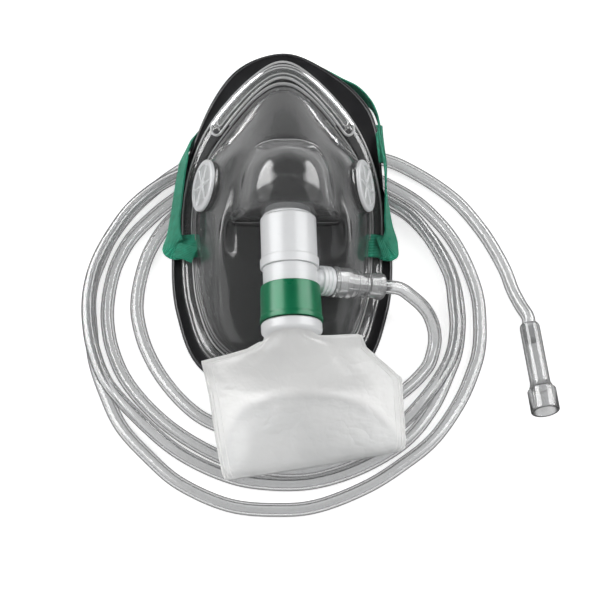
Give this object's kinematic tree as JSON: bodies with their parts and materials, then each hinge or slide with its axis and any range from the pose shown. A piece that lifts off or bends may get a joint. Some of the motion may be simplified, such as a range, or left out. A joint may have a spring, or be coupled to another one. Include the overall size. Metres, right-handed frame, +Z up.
{
  "type": "oxygen face mask",
  "caption": "Oxygen face mask: clear shell over a soft black liner, nose clip, elastic strap, valved tee, reservoir bag, swivelling inlet and looped supply tube, lying on a surface.",
  "frame": {"origin": "On the surface that the mask lies on, under the middle of the box round everything but the supply tube and its connector.", "axes": "+Y runs from the reservoir bag to the nose end, +Z is up off the surface and out of the face, and +X is to the right in the picture."},
  "size_m": [0.2019, 0.2133, 0.0712],
  "materials": {
    "clear_plastic": "clear soft PVC, glossy",
    "black_rubber": "satin to glossy soft black",
    "soft_aluminium": "rolled",
    "silicone_film": "milky thin film",
    "white_plastic": "smooth moulded",
    "green_plastic": "glossy, slightly clear",
    "bag_film": "frosted thin film",
    "green_elastic": "woven elastic"
  },
  "bodies": {
    "mask": {"mask_shell": "clear_plastic", "face_liner": "black_rubber", "nose_clip": "soft_aluminium", "vent_flap_left": "silicone_film", "vent_guard_left": "white_plastic", "vent_flap_right": "silicone_film", "vent_guard_right": "white_plastic", "port_sleeve": "white_plastic", "inlet_valve_disc": "silicone_film", "valve_seat": "white_plastic", "tee_body": "white_plastic", "bag_collar": "green_plastic", "bag_ring": "white_plastic", "reservoir_bag": "bag_film", "head_strap": "green_elastic", "oxygen_tube": "clear_plastic", "tube_connector": "clear_plastic"},
    "swivel": {"swivel_connector": "clear_plastic", "tube_cuff": "clear_plastic"}
  },
  "joints": [
    {"name": "inlet_swivel", "type": "hinge", "parent": "mask", "child": "swivel", "pos_m": [0.0036, -0.02551, 0.04685], "axis": [0.913, 0.088, -0.3983], "continuous": true}
  ]
}
